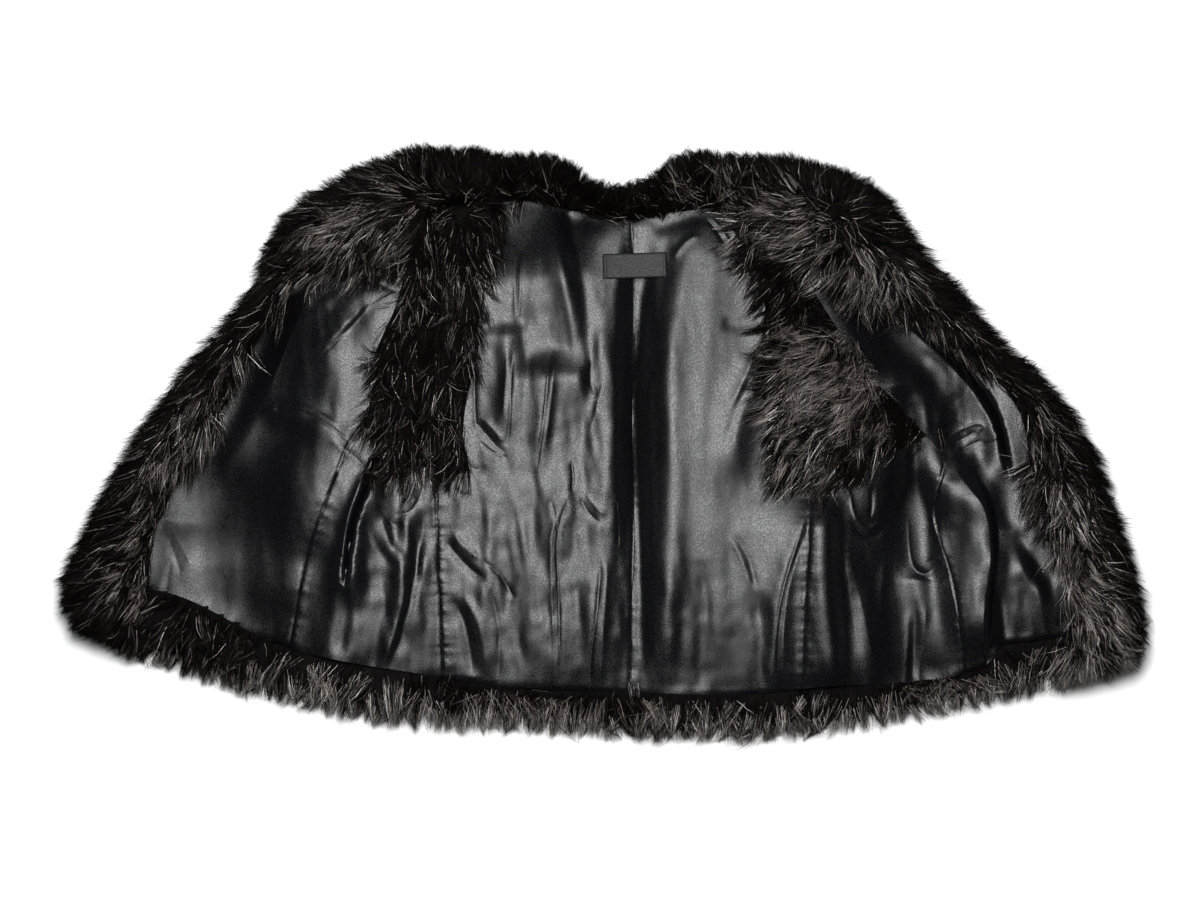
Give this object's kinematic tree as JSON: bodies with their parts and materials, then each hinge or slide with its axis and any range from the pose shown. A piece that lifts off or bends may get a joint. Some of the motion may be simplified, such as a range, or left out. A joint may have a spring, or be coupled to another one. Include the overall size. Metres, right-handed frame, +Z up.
{
  "type": "fur gilet, laid open",
  "caption": "Cropped dark brown long-haired fur gilet, laid open with its inside up: black satin lining, fur turned in at the front edges, neck and armholes, blank hanger label.",
  "frame": {"origin": "centre of the box round the laid garment, on the surface it lies on", "axes": "+X across the garment towards its right in the view from above, +Y from the hem to the neck, +Z up"},
  "size_m": [1.0304, 0.5722, 0.0538],
  "materials": {
    "fur": "long glossy guard hair over dense underfur",
    "satin": "black satin, soft sheen",
    "label": "glossy dark grey, blank"
  },
  "bodies": {
    "root": {"fur_back": "fur", "fur_front_left": "fur", "fur_front_right": "fur", "fur_facing_left": "fur", "fur_facing_right": "fur", "fur_facing_neck": "fur", "fur_armhole_left_front": "fur", "fur_armhole_left_back": "fur", "fur_armhole_right_back": "fur", "fur_underarm_right": "fur", "lining_back_left": "satin", "lining_back_right": "satin", "lining_side_left": "satin", "lining_front_left": "satin", "lining_side_right": "satin", "lining_front_right": "satin", "label": "label"}
  },
  "joints": []
}
